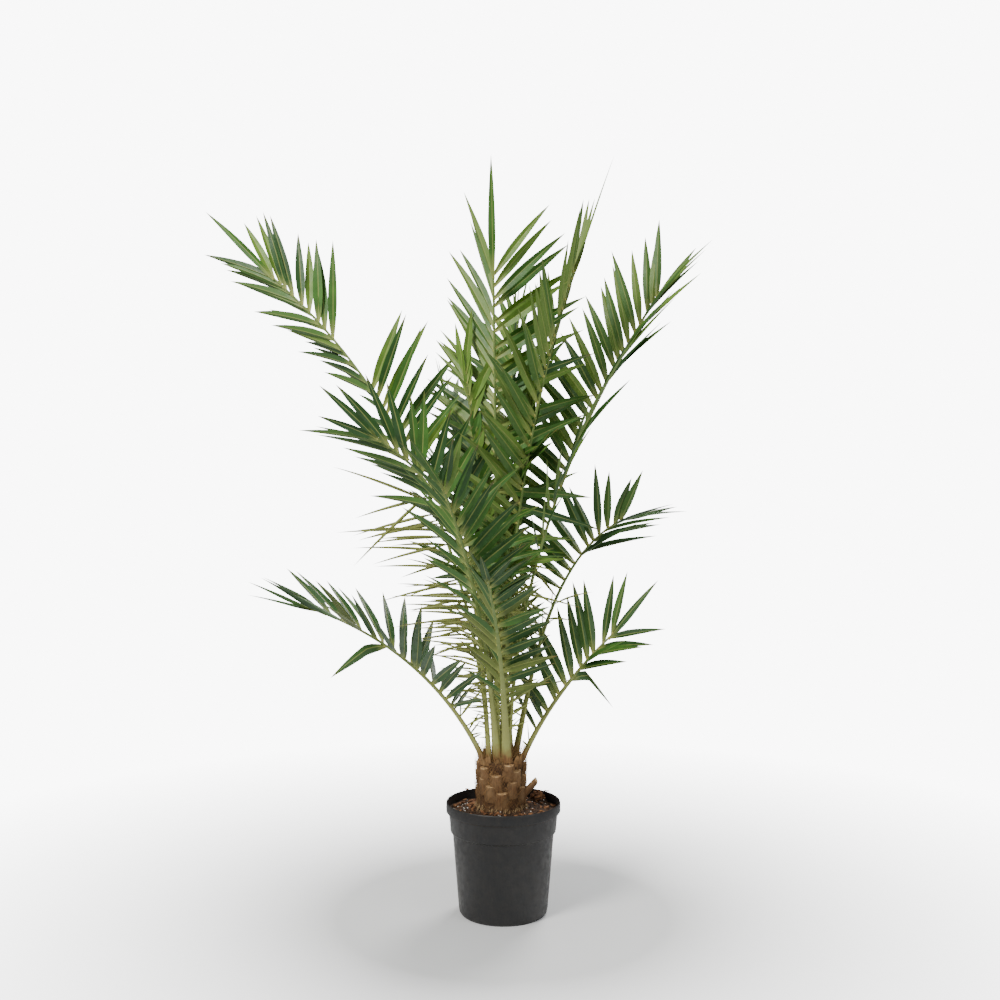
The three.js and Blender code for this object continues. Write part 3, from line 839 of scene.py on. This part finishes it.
def stationsOf(frond):  # points along the stem: where it is, and along, across and out of the blade
    steps = stem["steps"]
    s = np.linspace(0, 1, steps + 1)
    start, end = frond["lean"]
    lean = np.radians(start + (end - start) * s ** frond["bend"])[:, None]
    heading = math.radians(frond["heading"])
    out = np.array([math.cos(heading), math.sin(heading), 0])
    along = out * np.sin(lean) + up * np.cos(lean)
    face = -out * np.cos(lean) + up * np.sin(lean)
    across = np.tile([-math.sin(heading), math.cos(heading), 0], (steps + 1, 1))
    turn = np.radians(frond["turn"]) * s ** stem["turnEase"]
    across, face = turnedAbout(across, along, turn), turnedAbout(face, along, turn)
    foot = np.array([frond["base"][0] + trunk["offset"], frond["base"][1], stem["foot"]])
    at = foot + np.vstack([np.zeros(3), np.cumsum(along[:-1], 0) * frond["length"] / steps])
    return {"at": at, "along": along, "across": across, "face": face}


def stationAt(stations, s):
    x = min(max(s, 0), 1) * stem["steps"]
    i = min(int(x), stem["steps"] - 1)
    spot = {key: rows[i] + (rows[i + 1] - rows[i]) * (x - i) for key, rows in stations.items()}
    return {key: v if key == "at" else unit(v) for key, v in spot.items()}


def stemRadius(frond, s):
    return frond["radius"] + (stem["tipRadius"] - frond["radius"]) * s


def stemRings(frond, stations):
    angles = np.arange(stem["sides"]) / stem["sides"] * fullTurn
    rings, places = [], []
    for i in range(stem["steps"] + 1):
        s = i / stem["steps"]
        at, along, across, face = (stations[key][i] for key in ("at", "along", "across", "face"))
        reach = s * frond["length"]
        flare = stem["flare"] * math.exp(-reach / stem["flareReach"])
        wide = stemRadius(frond, s) * (1 + flare)
        deep = stemRadius(frond, s) * stem["thickness"] * (1 + flare / stem["flareFlatter"])
        upper = np.where(np.sin(angles) > 0, np.interp(s, (0, 1), stem["upper"]), 1)
        x, y = np.cos(angles) * wide, np.sin(angles) * upper * deep
        ring = at + np.outer(x, across) + np.outer(y, face)
        if i == 0:
            down = (ring[:, 2] - stem["foot"] + stem["sunk"]) / along[2]
            ring = ring - np.outer(down, along)
        rings.append(ring.tolist())
        places.append(np.column_stack([x, y, np.full(len(x), reach)]).tolist())
    return rings, places


def angleInRow(frond, u):
    opened = frond.get("open", 0) * (1 - u) ** leaflet["openEase"]
    return leaflet["footAngle"] - leaflet["closing"] * u ** leaflet["closingEase"] + opened


def lengthInRow(u):
    swell = leaflet["swell"] * math.sin(math.pi * u ** leaflet["swellEase"])
    return leaflet["length"] * (leaflet["shortest"] + swell)


def widthInRow(u):
    opened = math.sin(math.pi / 2 * min(u / leaflet["fullFrom"], 1))
    broad = leaflet["narrowest"] + (1 - leaflet["narrowest"]) * opened
    return leaflet["width"] * broad * (1 - leaflet["narrowing"] * u ** leaflet["narrowingEase"])


def inRows(count, seed, varied):  # a running number, the side and the place in the row, from 0 to 1
    for i in range(count):
        for side in (1, -1):
            k = i * 2 + (side > 0)
            place = i + 0.5 + leaflet["stagger"] * side + varied * wobble(seed, k)
            yield k, side, min(max(place / count, 0), 1)


def rooted(frond, stations, s, side, row, **own):  # a leaflet or spine, s up the stem
    sunk = stemRadius(frond, s) * leaflet["sunk"]
    plain = dict(lift=0, age=0, twist=0, bow=0, hang=0, last=False)
    return {**plain, **stationAt(stations, s), "side": side, "row": row, "sunk": sunk, **own}


def varied(spec, amounts, seed, k):  # chance changes each value by up to its amount
    for step, key in enumerate(("angle", "lift", "length", "width", "age", "twist", "bow"), 1):
        chance = amounts.get(key, 0) * wobble(seed + step, k)
        spec[key] = spec[key] * (1 + chance) if key in ("length", "width") else spec[key] + chance
    return spec


def leafletsOf(frond, index, stations):
    seed, leafed = 10 * index + 1, 1 - frond["bare"]
    count = int(frond["length"] * leafed / leaflet["pitch"])
    gapSide, gapFrom, gapTo = frond.get("gap", (0, 0, 0))
    found = []
    for k, side, u in inRows(count, seed, varies["place"]):
        if gapSide != side or not gapFrom <= u <= gapTo:
            spec = rooted(
                frond, stations, frond["bare"] + leafed * u, side, u,
                angle=angleInRow(frond, u) + frond["spread"][side > 0], lift=leaflet["lift"],
                length=lengthInRow(u) * frond["leaf"], width=widthInRow(u),
                age=frond["age"] - younger["alongRow"] * u,
            )
            found.append(varied(spec, varies, seed, k))
    if "kinked" in frond:
        kinked = frond["kinked"]
        same = [x for x in found if x["side"] == kinked["side"]]
        min(same, key=lambda x: abs(x["row"] - kinked["row"])).update(kinked)
    angle, share = frond["tip"]
    found.append(rooted(
        frond, stations, 1, 1, 1, angle=angle, sunk=leaflet["tipSunk"],
        length=leaflet["length"] * frond["leaf"] * share, width=leaflet["width"] * leaflet["tipWidth"],
        age=frond["age"] - younger["last"], last=True,
    ))
    return found


def spinesOf(frond, index, stations):  # stiff thorn-like leaflets on the lower stem
    own = {**spine, **frond.get("spines", {})}
    seed, reach = 10 * index + 301, frond["bare"] - spine["fromShare"]
    count = int(frond["length"] * reach / spine["pitch"])
    likeLeaflets = 1 - spine["likeLeaflets"] + spine["likeLeaflets"] * frond["leaf"]
    found = []
    for k, side, u in inRows(count, seed, spineVaries["place"]):
        spec = rooted(
            frond, stations, spine["fromShare"] + reach * u, side, u, angle=own["angle"], lift=own["lift"],
            length=np.interp(u ** own["ease"], (0, 1), own["length"]) * likeLeaflets,
            width=np.interp(u, (0, 1), own["width"]),
        )
        found.append(varied(spec, spineVaries, seed, k))
    return found


def leafletFrame(spec, more):
    lift, angle = math.radians(spec["lift"]), math.radians(spec["angle"] + more)
    sideways = spec["across"] * spec["side"] * math.cos(lift) + spec["face"] * math.sin(lift)
    heading = spec["along"] * math.cos(angle) + sideways * math.sin(angle)
    edge = spec["along"] * math.sin(angle) - sideways * math.cos(angle)
    return {"at": spec["at"] - heading * spec["sunk"], "heading": heading, "edge": edge}


# The eight faces round a leaflet, by which it is seen what it touches
coarseCorners = np.array([[-1, 1, 0, 0, 0, 0], [0, 0, -1, 1, 0, 0], [0, 0, 0, 0, -1, 1]])
coarseFaces = [(a, b, c) for a in (0, 1) for b in (2, 3) for c in (4, 5)]


def coarseLeaflet(own, length, width, spare):
    x, y, z = coarseCorners
    share = np.where(x == 0, leaflet["widestAt"], (x + 1) / 2)
    rise = z * (leaflet["thickness"] + spare) + abs(y) * width * leaflet["fold"]
    points = own["at"] + np.outer(share * length + x * spare, own["heading"])
    points = points + np.outer(y * (width / 2 + spare), own["edge"])
    points = points + np.outer(rise, np.cross(own["heading"], own["edge"]))
    points[:, 2] -= leaflet["droop"] * length * share ** 2
    return points


room = 6000  # shells that the arrays below can hold
placed = dict(low=np.zeros((room, 3)), high=np.zeros((room, 3)), owner=np.zeros(room, int), trees=[])


def keepClear(owner, points, faces=coarseFaces):
    k = len(placed["trees"])
    placed["low"][k], placed["high"][k], placed["owner"][k] = points.min(0), points.max(0), owner
    placed["trees"].append(BVHTree.FromPolygons(points.tolist(), faces))


def touches(owner, points):
    n = len(placed["trees"])
    apart = (placed["low"][:n] > points.max(0)) | (placed["high"][:n] < points.min(0))
    near = np.flatnonzero((placed["owner"][:n] != owner) & ~apart.any(1))
    if not len(near):
        return False
    tree = BVHTree.FromPolygons(points.tolist(), coarseFaces)
    return any(tree.overlap(placed["trees"][k]) for k in near)


def fitted(owner, spec, tries):
    # one that would touch another frond turns in small steps, then shortens, and is left out if none helps
    for share in tries["shares"]:
        for more in tries["turns"]:
            own = leafletFrame(spec, more / retries["lastTurns"] if spec["last"] else more)
            shell = coarseLeaflet(own, spec["length"] * share, spec["width"], leaflet["clearance"])
            if not touches(owner, shell):
                return {**spec, **own, "length": spec["length"] * share, "shell": shell}
    return None


def bladePoints(leaves):
    share, across, through = bladeShape[0].T
    heading, edge, at = (column(leaves, key) for key in ("heading", "edge", "at"))
    numbers = ("length", "width", "twist", "bow", "hang")
    length, width, twist, bow, hang = (column(leaves, key)[:, None] for key in numbers)
    cos, sin = np.cos(twist * share)[..., None], np.sin(twist * share)[..., None]
    flat, out = edge[:, None], np.cross(heading, edge)[:, None]
    rise = np.clip(share / blade["widestAt"], 0, 1)
    fall = np.clip((share - blade["widestAt"]) / (1 - blade["widestAt"]), 0, 1)
    broad = blade["footWidth"] + (1 - blade["footWidth"]) * np.sin(rise * math.pi / 2)
    half = width / 2 * broad * (1 - fall ** blade["tipEase"])
    fold = blade["fold"] - blade["unfolding"] * share
    lifted = np.abs(across) * half * fold + through * leaflet["thickness"] * (blade["stout"] - share)
    kinkAt = np.where(hang > 0, blade["kinkAt"], blade["noKink"])
    fallen = unit(heading * [1, 1, blade["kinkReach"]] - hang * up)
    straight = np.minimum(share * length, kinkAt * length)
    sideways = across * half + bow * length * share ** 2
    points = builtUp(
        at, (heading, straight), (fallen, share * length - straight),
        (flat * cos + out * sin, sideways), (out * cos - flat * sin, lifted),
    )
    points[..., 2] -= leaflet["droop"] * length * share ** 2
    return points


def footKnobs(leaves):  # the swollen, pale foot of each leaflet
    bm = bmesh.new()
    bmesh.ops.create_icosphere(bm, subdivisions=1, radius=1)
    shape = shapeOf(bm)
    heading, edge, at = (column(leaves, key) for key in ("heading", "edge", "at"))
    width, sunk = (column(leaves, key)[:, None] for key in ("width", "sunk"))
    size = np.clip(width * knob["size"], *knob["limits"])
    x, y, z = shape[0].T
    points = builtUp(
        at + heading * (sunk * knob["along"]), (heading, x * size * knob["length"]),
        (edge, y * size), (np.cross(heading, edge), z * size * knob["height"]),
    )
    return points, shape


def makeStems(allStations):
    finish = stemSkin()
    for owner, (frond, stations) in enumerate(zip(fronds, allStations)):
        bm = newSwept()
        sweep(bm, *stemRings(frond, stations))
        points, faces = cornersAndFaces(bm)
        keepClear(owner, points / mm, faces)
        words = frond["name"].split("_")[1:]
        name = "frond" + "".join(word.capitalize() for word in words) + "Stem"
        addPiece(name, meshFrom(bm, name, 50), finish, "frond_leaf", frond["name"])


def grownOn(allStations, specsOf, tries):
    grown = []
    for owner, (frond, stations) in enumerate(zip(fronds, allStations)):
        leaves = [fitted(owner, spec, tries) for spec in specsOf(frond, owner, stations)]
        leaves = [leaf for leaf in leaves if leaf]
        for leaf in leaves:
            keepClear(owner, leaf["shell"])
        grown += leaves
    return grown


def makeLeaflets(grown, spines):
    tones = np.searchsorted(toneLimits, column(grown, "age"))
    kinds = [[leaf for leaf, tone in zip(grown, tones) if tone == k] for k in range(len(toneLimits) + 1)]
    for (name, look), leaves in zip(leafTones.items(), kinds + [spines]):
        if leaves:
            mesh = repeatedMesh(name, bladePoints(leaves), bladeShape, keepPlace=True)
            addPiece(name, mesh, leafFinish(name, *look), "frond_leaf", *frondNodes)
    points, shape = footKnobs([leaf for leaf in grown if not leaf["last"]])
    finish = threadFinish("leafletFoot", (168, 164, 78), (190, 188, 110))
    feet = repeatedMesh("leafletFeet", points, shape, 80)
    addPiece("leafletFeet", feet, finish, "frond_leaf", *frondNodes)


allStations = [stationsOf(frond) for frond in fronds]
makeStems(allStations)
grownLeaflets = grownOn(allStations, leafletsOf, retries)
grownSpines = grownOn(allStations, spinesOf, spine)
print("stems done,", len(grownLeaflets), "leaflets and", len(grownSpines), "spines fitted")
makeLeaflets(grownLeaflets, grownSpines)
print("leaflets done")


# Trunk: a rough core under a spiral of cut leaf bases, with brown fibre between them

leafBase = dict(
    count=26, sides=22, rings=9, spiral=137.5, headingVaries=8, firstHeight=2, lastHeight=62,
    width=27, widthVaries=2, thickness=12, innerDepth=0.55, height=30, footRadius=38.5, lean=8,
    footScale=1.06, topScale=0.8, scaleEase=1.4, wrap=0.8,
    ribs=0.5, ribWaves=2, ribHeight=1.3, ribFade=0.5,
    slant=0.392, rounding=0.7,  # of the cut top
    raised=10, raisedFrom=0.62,  # only those above this share of the spiral may rise over the trunk's top
    near=13, kept=1,  # where a stem is this near, they end this much below the trunk's top
    cut=((0.9, -1.0), (0.9, 0.25), (0.8, 0.5), (0.45, 0.62)),  # its face's size and height, ring by ring
)
longBase = dict(heading=-12, width=20, thickness=17, height=45, lean=42, footRadius=35, foot=21)
core = dict(
    turns=96, rings=30, inset=1.2, footTaper=30, topTaper=18, dome=3,
    relief=1.3, grain=(0.14, 0.14, 0.05), fractal=(0.6, 2.2, 4),
)
flaps = dict(
    count=30, sides=10, rings=(0, 0.25, 0.45, 0.62, 0.78, 0.9, 1), headingVaries=9,
    radius=40, radiusVaries=3, lean=4, leanVaries=10, sunk=6,
    width=(6, 21), height=(4, 18), thickness=1.8, thinning=0.7, wrap=80, sideways=4,
    blunt=(0.35, 1.3),  # some end in a point and some are torn off
    tip=0.05, ragged=0.1, torn=1.6,
)
fibre = dict(
    trunkFibre=dict(count=900, length=(14, 44), thread=(0.18, 0.45), radius=(42.5, 47.2), ends=(2, 6),
                    slope=(0.35, 1.5), outward=(-0.05, 0.12), hug=0.5 / 44,
                    tones=((92, 62, 36), (158, 120, 76))),
    crownFibre=dict(count=640, length=(10, 44), thread=(0.16, 0.4), radius=43, gather=0.6, sunk=2,
                    splay=0.28, sway=0.5, curl=0.3, fallBack=0.08,
                    tones=((112, 78, 44), (182, 144, 92))),
    footFibre=dict(count=190, length=(6, 18), thread=(0.25, 0.55), radius=44, height=(2, 13),
                   slope=0.55, sway=0.7, fallBack=0.1, tones=((120, 92, 60), (196, 168, 122))),
)
barkTones = dict(  # dark and light strands, pale patches, and how the strands' pattern is stretched
    leafBases=((70, 46, 28), (132, 94, 58), (150, 122, 86), (420, 420, 36)),
    trunkCore=((50, 32, 20), (104, 70, 42), (118, 88, 56), (300, 300, 60)),
    sheathFlaps=((104, 70, 40), (168, 126, 78), (178, 148, 104), (500, 500, 60)),
)
trunkHeight = trunk["top"] - trunk["foot"]


def addBark(name, bm, material, sharpAbove=50):
    addPiece(name, meshFrom(bm, name, sharpAbove), material, "trunk_bark", "trunk")


def leafBasePoint(size, angle, h):
    # a point on a cut leaf base, h from its foot at 0 to its cut top at 1, in the trunk's own frame
    b = leafBase
    scale = b["footScale"] - (b["footScale"] - b["topScale"]) * h ** b["scaleEase"]
    y = size["width"] / 2 * math.sin(angle) * scale
    c = math.cos(angle)
    x = size["thickness"] / 2 * (c if c > 0 else b["innerDepth"] * c) * scale
    x -= y * y / (2 * b["footRadius"]) * b["wrap"]  # it wraps round the trunk
    rib = noise.noise(Vector((y * b["ribs"], size["heading"], h * b["ribWaves"]))) * b["ribHeight"]
    x += rib * (1 - b["ribFade"] * h)
    return x, y, size["height"] * h - (b["slant"] * x if h == 1 else 0)


def placedPoint(size, point):
    x, y, z = point
    lean, turn = math.radians(size["lean"]), math.radians(size["heading"])
    x, z = x * math.cos(lean) + z * math.sin(lean), z * math.cos(lean) - x * math.sin(lean)
    x, z = x + size["footRadius"], z + size["foot"]
    x, y = x * math.cos(turn) - y * math.sin(turn), x * math.sin(turn) + y * math.cos(turn)
    return x + trunk["offset"], y, z + trunk["foot"]


def leafBaseSizes():
    b = leafBase
    sizes = []
    for i in range(b["count"]):
        share = i / (b["count"] - 1)
        foot = b["firstHeight"] + (b["lastHeight"] - b["firstHeight"]) * share
        heading = i * b["spiral"] + b["headingVaries"] * wobble(3, i)
        width = b["width"] + b["widthVaries"] * wobble(4, i)
        size = {**b, "heading": heading, "foot": foot, "width": width}
        tall = min(b["height"], trunkHeight + b["raised"] - foot)
        short = min(b["height"], trunkHeight - b["kept"] - foot)
        x, y = placedPoint(size, (0, 0, tall))[:2]
        near = min(math.dist((x - trunk["offset"], y), frond["base"]) for frond in fronds)
        size["height"] = short if share > b["raisedFrom"] and near < b["near"] else tall
        sizes.append(size)
    return sizes + [{**b, **longBase}]


def makeLeafBases(sizes):
    angles = [fullTurn * k / leafBase["sides"] for k in range(leafBase["sides"])]
    bases, cuts = newSwept(), newSwept()
    for size in sizes:
        rings, places = [], []
        for k in range(leafBase["rings"]):
            ring = [leafBasePoint(size, a, k / (leafBase["rings"] - 1)) for a in angles]
            rings.append([placedPoint(size, p) for p in ring])
            places.append([(x + size["foot"], y + size["heading"], z) for x, y, z in ring])
        face = sweep(bases, rings, places)
        top = np.array(ring)
        centre = top.mean(0)
        disc = []
        for grow, rise in leafBase["cut"]:
            disc.append([placedPoint(size, centre + (p - centre) * grow + (0, 0, rise)) for p in top])
        sweep(cuts, disc, disc)
        bevelled(bases, list(face.edges), leafBase["rounding"] * mm, 2)
    addBark("leafBases", bases, barkFinish("leafBaseBark", *barkTones["leafBases"]))
    addBark("leafBaseCuts", cuts, cutFace())


def makeCore():
    heights = (0, core["footTaper"], trunkHeight - core["topTaper"], trunkHeight)
    radii = (trunk["footRadius"], trunk["waistRadius"], trunk["waistRadius"], trunk["topRadius"])
    profile = [(0, trunk["foot"])]
    for k in range(core["rings"] + 1):
        z = trunkHeight * k / core["rings"]
        profile.append((np.interp(z, heights, radii) - core["inset"], trunk["foot"] + z))
    for share in (0.75, 0.5, 0.25, 0):
        profile.append((trunk["topRadius"] * share, trunk["top"] + core["dome"] * (1 - share)))
    bm = spun(profile, core["turns"])
    layer = bm.verts.layers.float_vector.new("place")
    for vert in bm.verts:
        spot = vert.co / mm
        vert[layer] = vert.co
        out = Vector((spot.x, spot.y, 0))
        if out.length > 1 and spot.z > trunk["foot"] + 1:
            rough = noise.fractal(spot * Vector(core["grain"]), *core["fractal"])
            vert.co += out.normalized() * rough * core["relief"] * mm
    bmesh.ops.translate(bm, verts=bm.verts, vec=(trunk["offset"] * mm, 0, 0))
    addBark("trunkCore", bm, barkFinish("coreBark", *barkTones["trunkCore"]), 60)


def makeFlaps():  # dry ragged sheath ends round the trunk's top
    f = flaps
    bm = newSwept()
    angles = [fullTurn * k / f["sides"] for k in range(f["sides"])]
    for i in range(f["count"]):
        width, height = between(f["width"], 52, i), between(f["height"], 53, i)
        blunt = between(f["blunt"], 57, i)
        size = dict(
            heading=i * 360 / f["count"] + f["headingVaries"] * wobble(51, i),
            lean=f["lean"] + f["leanVaries"] * wobble(54, i), foot=trunkHeight - f["sunk"],
            footRadius=f["radius"] + f["radiusVaries"] * wobble(56, i),
        )
        rings = []
        for h in f["rings"]:
            taper = (1 - h) ** blunt + f["tip"] + f["ragged"] * h * wobble(i, 9 * h)
            torn = [f["torn"] * h * wobble(58 + i, k) for k in range(f["sides"])]
            y = [width / 2 * math.sin(a) * taper + f["sideways"] * wobble(55, i) * h * h for a in angles]
            thick = f["thickness"] / 2 * (1 - f["thinning"] * h)
            x = [thick * math.cos(a) - v * v / f["wrap"] for a, v in zip(angles, y)]
            z = [(height + f["sunk"]) * h + t for t in torn]
            rings.append([placedPoint(size, point) for point in zip(x, y, z)])
        sweep(bm, rings, rings)
    addBark("sheathFlaps", bm, barkFinish("sheathBark", *barkTones["sheathFlaps"]))


def roundTrunk(rng, count):  # directions out of the trunk and round it, at places dealt out by chance
    turn = rng.uniform(0, fullTurn, count)
    c, s, zero = np.cos(turn), np.sin(turn), np.zeros(count)
    return np.stack([c, s, zero], 1), np.stack([-s, c, zero], 1)


def swayed(rng, f, key):
    return rng.uniform(-f[key], f[key], f["count"])[:, None]


def wrappedStrands(rng, f):  # they lie on the trunk's side and cross each other
    count = f["count"]
    out, around = roundTrunk(rng, count)
    height = rng.uniform(f["ends"][0], trunkHeight - f["ends"][1], count)[:, None]
    radius = rng.uniform(*f["radius"], count)[:, None]
    slope = (rng.choice((-1, 1), count) * rng.uniform(*f["slope"], count))[:, None]
    heading = unit(around * slope + up + out * rng.uniform(*f["outward"], count)[:, None])
    length = rng.uniform(*f["length"], count)
    starts = out * radius + [trunk["offset"], 0, trunk["foot"]] + up * height
    return starts, heading, -out * (length * f["hug"] * (1 - heading[:, 2]))[:, None], length


def crownStrands(rng, f):  # they stand among the feet of the fronds
    out, around = roundTrunk(rng, f["count"])
    share = rng.random(f["count"])[:, None] ** f["gather"]
    heading = unit(up + out * share * f["splay"] + around * swayed(rng, f, "sway"))
    length = rng.uniform(*f["length"], f["count"])
    starts = out * share * f["radius"] + [trunk["offset"], 0, trunk["top"] - f["sunk"]]
    return starts, heading, around * swayed(rng, f, "curl") - out * f["fallBack"], length


def footStrands(rng, f):  # old roots and fibre that run down into the soil
    out, around = roundTrunk(rng, f["count"])
    height = rng.uniform(*f["height"], f["count"])[:, None]
    starts = out * f["radius"] + [trunk["offset"], 0, trunk["foot"]] + up * height
    heading = unit((out - up) * f["slope"] + around * swayed(rng, f, "sway"))
    return starts, heading, -out * f["fallBack"], rng.uniform(*f["length"], f["count"])


def makeFibre():
    rng = np.random.default_rng(77)
    strandsOf = dict(trunkFibre=wrappedStrands, crownFibre=crownStrands, footFibre=footStrands)
    for name, f in fibre.items():
        starts, heading, bend, length = strandsOf[name](rng, f)
        points = threadPoints(starts, heading, bend, length, rng.uniform(*f["thread"], f["count"]))
        mesh = repeatedMesh(name, points, threadShape, 80)
        addPiece(name, mesh, threadFinish(name, *f["tones"]), "trunk_bark", "trunk")


makeCore()
makeLeafBases(leafBaseSizes())
makeFlaps()
makeFibre()
print("trunk done")
